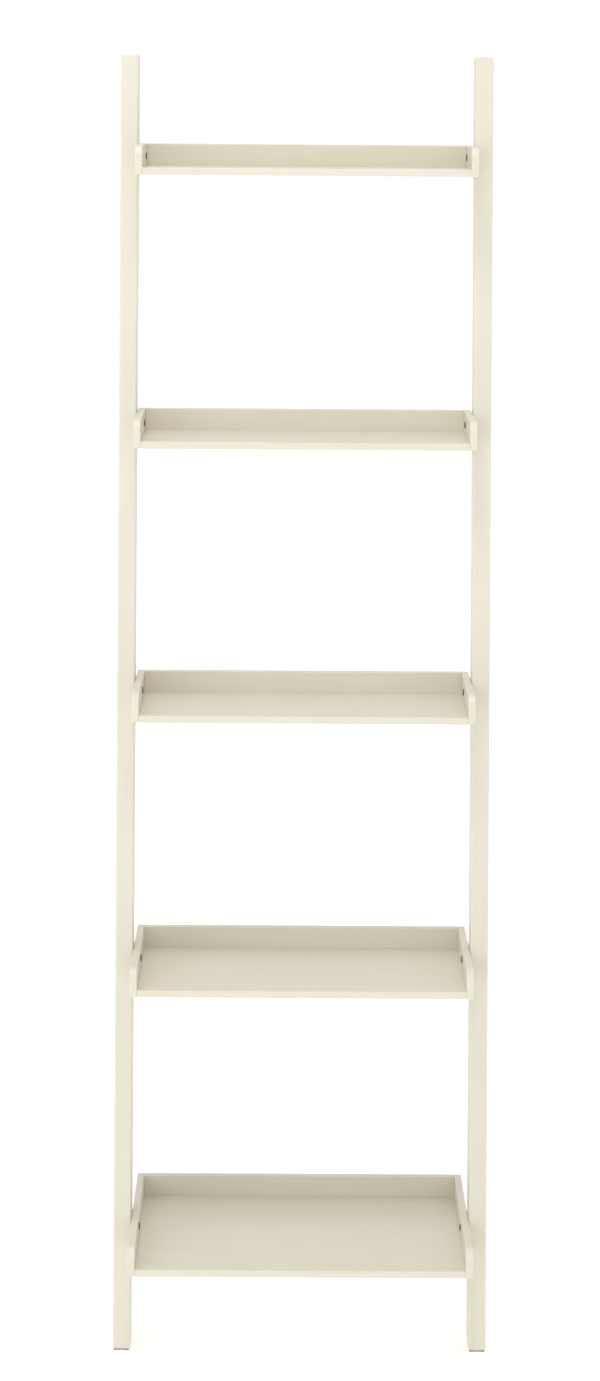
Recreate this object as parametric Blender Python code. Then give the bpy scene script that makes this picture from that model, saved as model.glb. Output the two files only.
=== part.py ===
"""Leaning ladder shelf: two side rails lean back to a wall and carry five open-fronted trays.

Metres, +Z up. The shelf faces -Y, the floor is z = 0, and the origin is the bottom centre of
the whole object's box. The rails are the structure. Each tray hangs between them on one bolt
and one dowel at each end, and has its own reach before and behind the rails' centre line.
"""

import math

import bmesh
import bpy

# The whole shelf
WIDTH = 0.530
HEIGHT = 1.825
LEAN = math.radians(7.5)
FIT_GAP = 0.0003
CUT_PAST = 0.001

# Side rails: planks on edge, with a plumb flat planed on the top rear corner
RAIL_THICK = 0.025
RAIL_DEPTH = 0.048
RAIL_EASE = 0.0015
PLUMB_FLAT = 0.030

# Trays, listed from the bottom one up
BOTTOM_TRAY_HEIGHT = 0.153
RAIL_ABOVE_TOP_TRAY = 0.157
REACH_AHEAD = (0.130, 0.113, 0.112, 0.115, 0.117)
REACH_BEHIND = (0.170, 0.117, 0.071, 0.051)
TOP_TRAY_OFF_WALL = 0.001
BOARD_THICK = 0.010
BACK_THICK = 0.010
SIDE_THICK = 0.010
GALLERY_HEIGHT = 0.0315
FRONT_CORNER_RADIUS = 0.015
EDGE_EASE = 0.0008

# Bolt, threaded insert and dowel at each end of a tray
BOLT_ABOVE_BOARD = 0.0145
BOLT_DIAMETER = 0.006
BOLT_IN_RAIL = 0.0145
BOLT_CHAMFER = 0.0005
BOLT_TIP_ROOM = 0.002
HEAD_DIAMETER = 0.010
HEAD_HEIGHT = 0.0012
SOCKET_FLATS = 0.004
SOCKET_DEPTH = 0.0026
INSERT_WALL = 0.0018
INSERT_LENGTH = 0.013
DOWEL_DIAMETER = 0.006
DOWEL_IN_RAIL = 0.012
DOWEL_CHAMFER = 0.0006
DOWEL_SKIN = 0.0035
DOWEL_BEHIND_BOLT = 0.014

# Foot pads
PAD_THICK = 0.003
PAD_INSET = 0.0015

# Keyhole hangers on the rails' rear faces, and their screws
HANGER_WIDTH = 0.015
HANGER_LENGTH = 0.046
HANGER_THICK = 0.0016
HANGER_WALL_ROOM = 0.0006
HANGER_SCREW_INSET = 0.006
KEYHOLE_DIAMETER = 0.0085
KEYHOLE_SLOT = 0.0045
KEYHOLE_RISE = 0.010
POCKET_MARGIN = 0.0015
POCKET_DEPTH = 0.006
SCREW_DIAMETER = 0.003
SCREW_HEAD_DIAMETER = 0.0058
SCREW_HEAD_HEIGHT = 0.0013
SCREW_LENGTH = 0.014
SCREW_TIP = 0.004
SCREW_TIP_DIAMETER = 0.0008

# Facets of round shapes, and which edges are eased or stay crisp
CRISP_ANGLE = math.radians(35)
LEAST_EASED_ANGLE = math.radians(30)
BOLT_SIDES = 24
HIDDEN_SIDES = 12
CORNER_STEPS = 8
KEYHOLE_STEPS = 16

# Worked out from the values above
TRAYS = len(REACH_AHEAD)
TRAY_PITCH = (HEIGHT - RAIL_ABOVE_TOP_TRAY - BOTTOM_TRAY_HEIGHT) / (TRAYS - 1)
RAIL_RUN = RAIL_DEPTH / math.cos(LEAN)
RAIL_FOOT = PAD_THICK + FIT_GAP
RAIL_INNER_X = WIDTH / 2 - RAIL_THICK
TRAY_OUTER_X = RAIL_INNER_X - FIT_GAP
TRAY_INNER_X = TRAY_OUTER_X - SIDE_THICK
BOARD_END_X = TRAY_INNER_X - FIT_GAP
BOLT_RADIUS = BOLT_DIAMETER / 2
HEAD_RADIUS = HEAD_DIAMETER / 2
INSERT_RADIUS = BOLT_RADIUS + FIT_GAP + INSERT_WALL
DOWEL_RADIUS = DOWEL_DIAMETER / 2
HEAD_TOP = -FIT_GAP - HEAD_HEIGHT
RAIL_FACE = SIDE_THICK + FIT_GAP
ENDS = {"left": -1, "right": 1}


def off_wall(z):
    """How far in front of the wall the rails' rear face is at height z."""
    return (HEIGHT - PLUMB_FLAT - z) * math.tan(LEAN)


def bolt_off_wall(tray):
    """How far in front of the wall a tray's bolts are: on the rails' centre line."""
    return off_wall(tray_height(tray) + BOLT_ABOVE_BOARD) + RAIL_RUN / 2


def tray_height(tray):
    """Height of a tray's board top."""
    return BOTTOM_TRAY_HEIGHT + tray * TRAY_PITCH


def reach_behind(tray):
    """From the rails' centre line to a tray's rear face. The top tray reaches the wall."""
    if tray == TRAYS - 1:
        return bolt_off_wall(tray) - TOP_TRAY_OFF_WALL
    return REACH_BEHIND[tray]


WALL_Y = max(bolt_off_wall(0) + REACH_AHEAD[0], off_wall(RAIL_FOOT) + RAIL_RUN) / 2


def clear_scene():
    for obj in list(bpy.data.objects):
        bpy.data.objects.remove(obj, do_unlink=True)


def make_material(name, colour, roughness, metallic=0.0):
    material = bpy.data.materials.new(name)
    material.use_nodes = True
    shader = material.node_tree.nodes["Principled BSDF"]
    shader.inputs["Base Color"].default_value = (*colour, 1.0)
    shader.inputs["Roughness"].default_value = roughness
    shader.inputs["Metallic"].default_value = metallic
    return material


def add_object(name, shape, material, parent=None, smooth=False):
    """Turns a bmesh into a named object that lies on its parent's axes."""
    bmesh.ops.recalc_face_normals(shape, faces=shape.faces)
    mesh = bpy.data.meshes.new(name)
    shape.to_mesh(mesh)
    shape.free()
    if smooth:
        mesh.shade_smooth()
        mesh.set_sharp_from_angle(angle=CRISP_ANGLE)
    mesh.materials.append(material)
    obj = bpy.data.objects.new(name, mesh)
    obj.parent = parent
    bpy.context.scene.collection.objects.link(obj)
    return obj


def add_empty(name, location):
    empty = bpy.data.objects.new(name, None)
    empty.location = location
    bpy.context.scene.collection.objects.link(empty)
    return empty


def ease_edges(obj, width):
    bevel = obj.modifiers.new("eased edges", "BEVEL")
    bevel.width = width
    bevel.segments = 1
    bevel.limit_method = "ANGLE"
    bevel.angle_limit = LEAST_EASED_ANGLE


def cut(obj, shape, parent=None):
    """Takes a bmesh away from an object, as a hidden cutter."""
    cutter = add_object(obj.name + "_cutter", shape, STEEL, parent)
    cutter.hide_render = True
    cutter.display_type = "WIRE"
    boolean = obj.modifiers.new("cut", "BOOLEAN")
    boolean.operation = "DIFFERENCE"
    boolean.object = cutter


def add_block(shape, low, high):
    """A box between two corners."""
    made = bmesh.ops.create_cube(shape, size=1.0)
    for vertex in made["verts"]:
        vertex.co = [a + (b - a) * (c + 0.5) for a, b, c in zip(low, high, vertex.co)]


def add_prism(shape, outline, shift):
    """A flat outline of points carried along a shift."""
    face = shape.faces.new([shape.verts.new(point) for point in outline])
    grown = bmesh.ops.extrude_face_region(shape, geom=[face])["geom"]
    moved = [item for item in grown if isinstance(item, bmesh.types.BMVert)]
    bmesh.ops.translate(shape, verts=moved, vec=shift)


def hex_radius(half_flats, angle):
    """Distance from a hexagon's centre to its edge at an angle."""
    return half_flats / math.cos((angle + math.pi / 6) % (math.pi / 3) - math.pi / 6)


def add_turned(shape, rings, sides, centre, end, hexagons=None):
    """A round solid about a line along X, from rings of (distance, radius).

    Distances run from centre away from the shelf's middle, which is -X at the left end. Every
    round has a flat facet on top. The rings numbered in hexagons have six flats. A profile
    whose last ring is its first is a tube.
    """
    is_tube = rings[0] == rings[-1]
    loops = []
    for number, (distance, radius) in enumerate(rings[:-1] if is_tube else rings):
        loop = []
        for step in range(sides):
            turn = 2 * math.pi * step / sides
            out = hex_radius(radius, turn) if hexagons and number in hexagons else radius
            angle = turn + math.pi / sides
            y = centre[1] + out * math.cos(angle)
            z = centre[2] + out * math.sin(angle)
            loop.append(shape.verts.new((end * (centre[0] + distance), y, z)))
        loops.append(loop)
    if is_tube:
        loops.append(loops[0])
    else:
        shape.faces.new(loops[0])
        shape.faces.new(loops[-1])
    for first, second in zip(loops, loops[1:]):
        for step in range(sides):
            after = (step + 1) % sides
            shape.faces.new((first[step], first[after], second[after], second[step]))


def turned(rings, sides, centre, end, hexagons=None):
    shape = bmesh.new()
    add_turned(shape, rings, sides, centre, end, hexagons)
    return shape


def rail_outline():
    """A rail seen from its side: level foot and top, and a plumb flat against the wall."""
    corner = HEIGHT - PLUMB_FLAT
    return [
        (WALL_Y - off_wall(RAIL_FOOT), RAIL_FOOT),
        (WALL_Y, corner),
        (WALL_Y, HEIGHT),
        (WALL_Y - off_wall(HEIGHT) - RAIL_RUN, HEIGHT),
        (WALL_Y - off_wall(RAIL_FOOT) - RAIL_RUN, RAIL_FOOT),
    ]


def rail_holes(end):
    """Blind holes in a rail's inner face: an insert's and a dowel's for each tray."""
    shape = bmesh.new()
    radius = INSERT_RADIUS + FIT_GAP
    insert = [(-CUT_PAST, radius), (BOLT_IN_RAIL + BOLT_TIP_ROOM, radius)]
    radius = DOWEL_RADIUS + FIT_GAP
    dowel = [(-CUT_PAST, radius), (DOWEL_IN_RAIL + FIT_GAP, radius)]
    for tray in range(TRAYS):
        y = WALL_Y - bolt_off_wall(tray)
        z = tray_height(tray) + BOLT_ABOVE_BOARD
        add_turned(shape, insert, HIDDEN_SIDES, (RAIL_INNER_X, y, z), end)
        centre = (RAIL_INNER_X, y + DOWEL_BEHIND_BOLT, z)
        add_turned(shape, dowel, HIDDEN_SIDES, centre, end)
    return shape


def add_rail(side, end):
    shape = bmesh.new()
    outline = [(end * RAIL_INNER_X, y, z) for y, z in rail_outline()]
    add_prism(shape, outline, (end * RAIL_THICK, 0, 0))
    rail = add_object("rail_" + side, shape, PAINT)
    ease_edges(rail, RAIL_EASE)
    cut(rail, rail_holes(end))
    return rail


def add_foot_pad(side, end):
    shape = bmesh.new()
    rear = WALL_Y - off_wall(RAIL_FOOT) - PAD_INSET
    front = rear - RAIL_RUN + 2 * PAD_INSET
    inner, outer = RAIL_INNER_X + PAD_INSET, WIDTH / 2 - PAD_INSET
    add_block(shape, (end * inner, front, 0), (end * outer, rear, PAD_THICK))
    pad = add_object("foot_pad_" + side, shape, RUBBER)
    ease_edges(pad, EDGE_EASE / 2)


def screw_rings(grow):
    """A countersunk screw driven inwards from the hanger's outer face, or its hole if grown."""
    return [
        (-grow, SCREW_HEAD_DIAMETER / 2 + grow),
        (SCREW_HEAD_HEIGHT, SCREW_DIAMETER / 2 + grow),
        (SCREW_LENGTH - SCREW_TIP, SCREW_DIAMETER / 2 + grow),
        (SCREW_LENGTH + grow, SCREW_TIP_DIAMETER / 2 + grow),
    ]


def screw_shape(z, grow):
    """A screw, or its hole, on the hanger's own axes: +Y is out of the rail's rear face."""
    shape = turned(screw_rings(grow), HIDDEN_SIDES, (0, 0, 0), 1)
    turn = ((0, 1, 0), (-1, 0, 0), (0, 0, 1))
    for vertex in shape.verts:
        vertex.co = [sum(a * b for a, b in zip(row, vertex.co)) for row in turn]
        vertex.co.y += FIT_GAP + HANGER_THICK
        vertex.co.z += z
    return shape


def keyhole_outline(y):
    """A round hole with a narrower slot that rises from it, half way down the hanger."""
    low = -HANGER_LENGTH / 2 - KEYHOLE_RISE / 2
    radius, half_slot = KEYHOLE_DIAMETER / 2, KEYHOLE_SLOT / 2
    opening = math.asin(half_slot / radius)
    points = []
    for step in range(KEYHOLE_STEPS + 1):
        angle = math.pi / 2 + opening + (2 * math.pi - 2 * opening) * step / KEYHOLE_STEPS
        points.append((radius * math.cos(angle), y, low + radius * math.sin(angle)))
    for step in range(CORNER_STEPS + 1):
        angle = math.pi * step / CORNER_STEPS
        z = low + KEYHOLE_RISE + half_slot * math.sin(angle)
        points.append((half_slot * math.cos(angle), y, z))
    return points


def pocket_shape():
    """The hollow in the rail behind the keyhole, where the head of a wall screw goes."""
    shape = bmesh.new()
    half = KEYHOLE_DIAMETER / 2 + POCKET_MARGIN
    low = -HANGER_LENGTH / 2 - KEYHOLE_RISE / 2 - half
    high = -HANGER_LENGTH / 2 + KEYHOLE_RISE / 2 + half
    add_block(shape, (-half, -POCKET_DEPTH, low), (half, CUT_PAST, high))
    return shape


def add_hanger(side, end, rail):
    """A keyhole plate screwed to a rail's rear face, as high as the gap to the wall allows."""
    below_flat = (FIT_GAP + HANGER_THICK + HANGER_WALL_ROOM) / math.tan(LEAN)
    top = HEIGHT - PLUMB_FLAT - below_flat
    x = end * (RAIL_INNER_X + RAIL_THICK / 2)
    mount = add_empty("hanger_place_" + side, (x, WALL_Y - off_wall(top), top))
    mount.rotation_euler.x = -LEAN
    shape = bmesh.new()
    half = HANGER_WIDTH / 2
    add_block(shape, (-half, FIT_GAP, -HANGER_LENGTH), (half, FIT_GAP + HANGER_THICK, 0))
    hanger = add_object("wall_hanger_" + side, shape, STEEL, mount)
    keyhole = bmesh.new()
    through = FIT_GAP + HANGER_THICK + 2 * CUT_PAST
    add_prism(keyhole, keyhole_outline(-CUT_PAST), (0, through, 0))
    cut(hanger, keyhole, mount)
    cut(rail, pocket_shape(), mount)
    places = {"upper": -HANGER_SCREW_INSET, "lower": HANGER_SCREW_INSET - HANGER_LENGTH}
    for name, z in places.items():
        cut(hanger, screw_shape(z, FIT_GAP), mount)
        cut(rail, screw_shape(z, FIT_GAP), mount)
        add_object(f"hanger_screw_{side}_{name}", screw_shape(z, 0), STEEL, mount, smooth=True)


def side_outline(tray, x):
    """A tray's side: a strip whose top front corner is an arc."""
    front, rear = -REACH_AHEAD[tray], reach_behind(tray)
    arc_y, arc_z = front + FRONT_CORNER_RADIUS, GALLERY_HEIGHT - FRONT_CORNER_RADIUS
    points = [(x, front, -BOARD_THICK), (x, rear, -BOARD_THICK), (x, rear, GALLERY_HEIGHT)]
    for step in range(CORNER_STEPS + 1):
        angle = math.pi / 2 * (1 + step / CORNER_STEPS)
        y = arc_y + FRONT_CORNER_RADIUS * math.cos(angle)
        points.append((x, y, arc_z + FRONT_CORNER_RADIUS * math.sin(angle)))
    return points


def side_holes(end):
    """The bolt's hole right through a tray's side, and the dowel's blind one from outside."""
    bolt, dowel = BOLT_RADIUS + FIT_GAP, DOWEL_RADIUS + FIT_GAP
    past = SIDE_THICK + CUT_PAST
    through = [(-CUT_PAST, bolt), (past, bolt)]
    shape = turned(through, BOLT_SIDES, (TRAY_INNER_X, 0, BOLT_ABOVE_BOARD), end)
    centre = (TRAY_INNER_X, DOWEL_BEHIND_BOLT, BOLT_ABOVE_BOARD)
    add_turned(shape, [(DOWEL_SKIN, dowel), (past, dowel)], HIDDEN_SIDES, centre, end)
    return shape


def bolt_rings():
    """A flat-headed bolt from the bottom of its socket to its tip. The head stands in the tray."""
    tip = RAIL_FACE + BOLT_IN_RAIL
    return [
        (HEAD_TOP + SOCKET_DEPTH, SOCKET_FLATS / 2),
        (HEAD_TOP, SOCKET_FLATS / 2),
        (HEAD_TOP, HEAD_RADIUS - BOLT_CHAMFER),
        (HEAD_TOP + BOLT_CHAMFER, HEAD_RADIUS),
        (-FIT_GAP, HEAD_RADIUS),
        (-FIT_GAP, BOLT_RADIUS),
        (tip - BOLT_CHAMFER, BOLT_RADIUS),
        (tip, BOLT_RADIUS - BOLT_CHAMFER),
    ]


def insert_rings():
    """A threaded insert: a tube let into the rail."""
    near = RAIL_FACE + FIT_GAP
    far = near + INSERT_LENGTH
    bore = BOLT_RADIUS + FIT_GAP
    return [(near, bore), (near, INSERT_RADIUS), (far, INSERT_RADIUS), (far, bore), (near, bore)]


def dowel_rings():
    """A wooden dowel with chamfered ends, half in the tray's side and half in the rail."""
    near, far = DOWEL_SKIN + FIT_GAP, RAIL_FACE + DOWEL_IN_RAIL
    slim = DOWEL_RADIUS - DOWEL_CHAMFER
    return [
        (near, slim),
        (near + DOWEL_CHAMFER, DOWEL_RADIUS),
        (far - DOWEL_CHAMFER, DOWEL_RADIUS),
        (far, slim),
    ]


def add_tray_boards(name, tray, place):
    """The board, and the back panel that stands behind it."""
    front, rear = -REACH_AHEAD[tray], reach_behind(tray)
    panel = rear - BACK_THICK
    shape = bmesh.new()
    add_block(shape, (-BOARD_END_X, front, -BOARD_THICK), (BOARD_END_X, panel - FIT_GAP, 0))
    ease_edges(add_object(name + "_board", shape, PAINT, place), EDGE_EASE)
    shape = bmesh.new()
    add_block(shape, (-BOARD_END_X, panel, -BOARD_THICK), (BOARD_END_X, rear, GALLERY_HEIGHT))
    ease_edges(add_object(name + "_back", shape, PAINT, place), EDGE_EASE)


def add_tray_end(name, tray, place, side, end):
    """One side of a tray, with the bolt, insert and dowel that hold it to its rail."""
    shape = bmesh.new()
    add_prism(shape, side_outline(tray, end * TRAY_INNER_X), (end * SIDE_THICK, 0, 0))
    panel = add_object(f"{name}_side_{side}", shape, PAINT, place)
    ease_edges(panel, EDGE_EASE)
    cut(panel, side_holes(end), place)
    centre = (TRAY_INNER_X, 0, BOLT_ABOVE_BOARD)
    bolt = turned(bolt_rings(), BOLT_SIDES, centre, end, hexagons=(0, 1))
    add_object(f"{name}_bolt_{side}", bolt, DARK_STEEL, place, smooth=True)
    insert = turned(insert_rings(), HIDDEN_SIDES, centre, end)
    add_object(f"{name}_insert_{side}", insert, STEEL, place, smooth=True)
    centre = (TRAY_INNER_X, DOWEL_BEHIND_BOLT, BOLT_ABOVE_BOARD)
    dowel = turned(dowel_rings(), HIDDEN_SIDES, centre, end)
    add_object(f"{name}_dowel_{side}", dowel, BEECH, place, smooth=True)


def add_tray(tray):
    name = f"tray_{tray + 1}"
    place = add_empty(name + "_place", (0, WALL_Y - bolt_off_wall(tray), tray_height(tray)))
    add_tray_boards(name, tray, place)
    for side, end in ENDS.items():
        add_tray_end(name, tray, place, side, end)


clear_scene()
PAINT = make_material("cream_paint", (0.80, 0.76, 0.66), 0.45)
DARK_STEEL = make_material("dark_steel", (0.10, 0.09, 0.08), 0.4, 1.0)
STEEL = make_material("zinc_steel", (0.60, 0.60, 0.58), 0.35, 1.0)
BEECH = make_material("beech", (0.60, 0.42, 0.26), 0.6)
RUBBER = make_material("foot_rubber", (0.46, 0.45, 0.42), 0.8)

for rail_side, rail_end in ENDS.items():
    side_rail = add_rail(rail_side, rail_end)
    add_foot_pad(rail_side, rail_end)
    add_hanger(rail_side, rail_end, side_rail)
for tray_number in range(TRAYS):
    add_tray(tray_number)
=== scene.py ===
# %% [markdown]
# # A leaning ladder shelf
# Two planks on edge lean back to a wall, and five shallow trays hang between them on bolts.
# A CAD model already fixes every size and place. This script makes the surfaces that a person
# sees on top of it: eased edges, drilled holes, threads, and satin paint laid on with a brush.
# The frame is loaded first, because every place below is read from it and none is guessed.

# %% Load the frame
import math

import bpy
import numpy as np
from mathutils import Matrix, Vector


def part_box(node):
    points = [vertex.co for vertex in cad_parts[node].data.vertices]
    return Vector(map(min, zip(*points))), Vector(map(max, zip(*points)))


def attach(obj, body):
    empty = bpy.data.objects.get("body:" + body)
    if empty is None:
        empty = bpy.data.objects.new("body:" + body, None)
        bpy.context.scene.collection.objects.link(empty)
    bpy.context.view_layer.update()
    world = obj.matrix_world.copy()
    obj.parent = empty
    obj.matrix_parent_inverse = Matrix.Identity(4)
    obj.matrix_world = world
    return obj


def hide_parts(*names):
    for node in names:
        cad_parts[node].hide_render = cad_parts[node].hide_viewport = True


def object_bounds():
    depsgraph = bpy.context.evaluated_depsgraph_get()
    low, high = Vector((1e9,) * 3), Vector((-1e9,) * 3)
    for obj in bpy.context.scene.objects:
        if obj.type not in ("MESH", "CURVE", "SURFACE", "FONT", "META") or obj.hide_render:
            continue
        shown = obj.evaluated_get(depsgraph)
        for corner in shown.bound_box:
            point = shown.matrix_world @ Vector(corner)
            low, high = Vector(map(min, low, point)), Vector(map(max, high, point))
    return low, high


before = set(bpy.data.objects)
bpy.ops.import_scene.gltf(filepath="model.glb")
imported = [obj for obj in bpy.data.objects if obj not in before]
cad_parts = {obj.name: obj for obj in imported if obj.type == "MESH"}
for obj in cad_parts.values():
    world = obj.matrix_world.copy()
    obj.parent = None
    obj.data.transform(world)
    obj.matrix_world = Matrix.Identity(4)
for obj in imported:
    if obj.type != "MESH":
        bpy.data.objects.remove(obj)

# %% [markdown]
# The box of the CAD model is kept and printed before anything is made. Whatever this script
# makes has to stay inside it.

cad_box = [list(corner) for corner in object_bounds()]
print("CAD box:", np.round(cad_box, 4).tolist())

# %% [markdown]
# ## The stance
# Every bolt sits on the middle line of its rail, so the lowest and the highest bolt tell how
# far the shelf leans. Reading the lean from the frame, and not writing it a second time, means
# that the finished rails always lie along the CAD rails, even if the design changes.

# %% Read the lean from the bolts
ENDS = {"left": -1, "right": 1}
TRAYS = [1, 2, 3, 4, 5]
RAIL_DEPTH = 0.048


def box_of(node):
    """A CAD node's lowest and highest corner, as an array of two rows."""
    return np.array([list(corner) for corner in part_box(node)])


lowest_bolt = box_of("tray_1_bolt_right").mean(axis=0)
highest_bolt = box_of("tray_5_bolt_right").mean(axis=0)
SLOPE = (highest_bolt[1] - lowest_bolt[1]) / (highest_bolt[2] - lowest_bolt[2])
LEAN = math.atan(SLOPE)
HALF_RUN = RAIL_DEPTH / 2 / math.cos(LEAN)
print(f"lean {math.degrees(LEAN):.2f} degrees, rail {2000 * HALF_RUN:.1f} mm deep on the level")

# %% [markdown]
# ## Points into meshes
# Every piece below is a skin: rings of points, one after another, each ring closed on itself.
# Numpy works out all the rings of a piece at once. Four neighbouring points make a face, and
# a point in the middle of the first and the last ring closes the ends. A pipe has no ends to
# close, so its last ring joins its first.
# Building the points by hand would also work, but a grid keeps the faces in order and makes
# each formula easy to check against the real shape.

# %% Make a skin from rings


def skin(rings, wear=None, pipe=False):
    """Points, faces and wear of a closed surface through rings x points x 3.

    A face takes points (i, j), (i, j+1), (i+1, j+1), (i+1, j), where j wraps round the ring.
    """
    count, around = rings.shape[:2]
    index = np.arange(count * around).reshape(count, around)
    beside = np.roll(index, -1, axis=1)
    wear = np.zeros((count, around)) if wear is None else wear
    if pipe:
        quads = np.stack([index, beside, np.roll(beside, -1, 0), np.roll(index, -1, 0)], -1)
        return face_outwards(rings.reshape(-1, 3), quads.reshape(-1, 4).tolist(), wear.ravel())
    quads = np.stack([index[:-1], beside[:-1], beside[1:], index[1:]], -1).reshape(-1, 4)
    poles = rings[[0, -1]].mean(axis=1)
    first = np.full(around, count * around)
    start_fan = np.stack([beside[0], index[0], first], -1)
    end_fan = np.stack([index[-1], beside[-1], first + 1], -1)
    faces = quads.tolist() + start_fan.tolist() + end_fan.tolist()
    points = np.vstack([rings.reshape(-1, 3), poles])
    return face_outwards(points, faces, np.append(wear.ravel(), [0, 0]))


def face_outwards(points, faces, wear):
    """Turns every face round if the enclosed volume is negative.

    The volume is a sixth of the sum of a . (b x c) over the triangles (a, b, c) of the faces.
    """
    corners = np.array([face[:3] for face in faces] + [[f[0], f[2], f[-1]] for f in faces])
    a, b, c = np.moveaxis(points[corners], 1, 0)
    if np.einsum("ij,ij->", a, np.cross(b, c)) < 0:
        faces = [face[::-1] for face in faces]
    return points, faces, wear


# %% [markdown]
# ## Meshes into pieces
# A piece rides on the one body of the shelf, hides the CAD node that it stands for, and takes
# its material. The wear of each point goes along as an attribute, so that a
# material can rub the paint thin on the edges, wherever the piece is.
# Faces that meet at more than 35 degrees keep a crisp line, and the rest are shaded smooth.

# %% Make pieces from skins
CRISP_ANGLE = math.radians(35)


def mesh_from(name, skins):
    """One mesh that holds several skins."""
    mesh = bpy.data.meshes.new(name)
    faces, start = [], 0
    for points, own_faces, _ in skins:
        faces += [[start + corner for corner in face] for face in own_faces]
        start += len(points)
    mesh.from_pydata(np.vstack([points for points, _, _ in skins]), [], faces)
    mesh.attributes.new("wear", "FLOAT", "POINT").data.foreach_set(
        "value", np.concatenate([wear for _, _, wear in skins]).astype(np.float32)
    )
    return mesh


def shade(mesh):
    mesh.shade_smooth()
    mesh.set_sharp_from_angle(angle=CRISP_ANGLE)


def add_piece(name, shape, material, node):
    """A skin as a named object that stands for a CAD node."""
    mesh = mesh_from(name, [shape])
    mesh.materials.append(material)
    shade(mesh)
    piece = bpy.data.objects.new(name, mesh)
    bpy.context.scene.collection.objects.link(piece)
    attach(piece, "root")
    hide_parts(node)
    return piece


# %% [markdown]
# Holes are drilled as they are in wood: the shape of the drill is taken away from the piece.
# A Boolean modifier does that, and its result is kept as the mesh. A hole could be a part of
# the grid instead, but a rail has thirteen of them, and each would cut the grid into patches.

# %% Drill a piece


def drill(piece, drills):
    """Takes the drills' skins away from a piece for good."""
    tool = bpy.data.objects.new("drill", mesh_from("drill", drills))
    bpy.context.scene.collection.objects.link(tool)
    boolean = piece.modifiers.new("drill", "BOOLEAN")
    boolean.operation = "DIFFERENCE"
    boolean.object = tool
    graph = bpy.context.evaluated_depsgraph_get()
    whole = piece.data
    piece.data = bpy.data.meshes.new_from_object(piece.evaluated_get(graph), depsgraph=graph)
    piece.modifiers.clear()
    bpy.data.meshes.remove(whole)
    bpy.data.meshes.remove(tool.data)
    piece.data.name = piece.name
    shade(piece.data)


# %% [markdown]
# ## Sections with eased corners
# A plank or a board is a rectangle carried along a line. A joiner breaks every sharp edge with
# a plane or sandpaper, so that paint holds on it, and the light catches the rounding as a thin
# bright line. The rounding is in the section's corners, and again at both ends, where the
# section draws in. A Bevel modifier could do this too, but here each point also knows how far
# round the edge it is, which is where the paint wears.
# One more point beside each rounding keeps the flat face next to it evenly lit.

# %% Work out eased sections
ARC_STEPS = 5
FLAT_MARGIN = 0.0006
LEAST_CORNER = 0.15


def eased_rectangles(low_a, high_a, low_b, high_b, radius):
    """Rings x points x 2 round rectangles with round corners, and how far round each point is.

    A corner point is the corner circle's centre plus radius times (cos t, sin t), for t
    through a quarter turn. The points beside it slide along the edge by FLAT_MARGIN.
    The radius is one number for each ring, or four for the ring's four corners.
    """
    low_a, high_a, low_b, high_b = np.broadcast_arrays(low_a, high_a, low_b, high_b)
    radius = np.broadcast_to(np.reshape(radius, (len(low_a), -1)), (len(low_a), 4))[..., None]
    share = np.concatenate([[0], np.linspace(0, 1, ARC_STEPS + 1), [1]])
    slide = np.concatenate([[-FLAT_MARGIN], np.zeros(ARC_STEPS + 1), [FLAT_MARGIN]])
    turn = (np.arange(4)[:, None] + share) * math.pi / 2
    near_a, near_b = np.array([1, -1, -1, 1]) > 0, np.array([1, 1, -1, -1]) > 0
    corner_a = np.where(near_a, high_a[:, None], low_a[:, None])[..., None]
    corner_b = np.where(near_b, high_b[:, None], low_b[:, None])[..., None]
    centre_a = corner_a - np.where(near_a, 1, -1)[:, None] * radius
    centre_b = corner_b - np.where(near_b, 1, -1)[:, None] * radius
    a = centre_a + radius * np.cos(turn) - slide * np.sin(turn)
    b = centre_b + radius * np.sin(turn) + slide * np.cos(turn)
    rings = np.stack([a, b], -1).reshape(len(low_a), -1, 2)
    return rings, np.tile(np.sin(share * math.pi), 4)


def eased_ends(start, end, ease, between=()):
    """Where the rings of a bar lie, how far each draws in, and how far round the edge it is.

    At an end the place runs by ease (1 - cos t) and the draw-in by ease (1 - sin t), for t
    through a quarter turn, which is a quarter circle.
    """
    share = np.linspace(0, 1, ARC_STEPS + 1)
    turn = share * math.pi / 2
    place = np.concatenate([[0], ease * (1 - np.cos(turn)), [ease + FLAT_MARGIN]])
    inset = np.concatenate([[ease + FLAT_MARGIN], ease * (1 - np.sin(turn)), [0]])
    round_edge = np.concatenate([[0], np.sin(share * math.pi), [0]])
    places = np.concatenate([start + place, between, (end - place)[::-1]])
    nothing = np.zeros(len(between))
    insets = np.concatenate([inset, nothing, inset[::-1]])
    return places, insets, np.concatenate([round_edge, nothing, round_edge[::-1]])


# %% [markdown]
# A bar's long way can be x, y or z, so the sections are worked out flat and then laid in the
# room. Boards and back panels run across the shelf, rails run up, and a tray's side is a slab
# whose outline has one big round corner.

# %% Carry a section along an axis


def carried(along, places, rings):
    """Rings x points x 3: the place on one axis, and the section on the other two in order."""
    others = [axis for axis in range(3) if axis != along]
    points = np.empty((*rings.shape[:2], 3))
    points[..., along] = places[:, None]
    points[..., others] = rings
    return points


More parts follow.
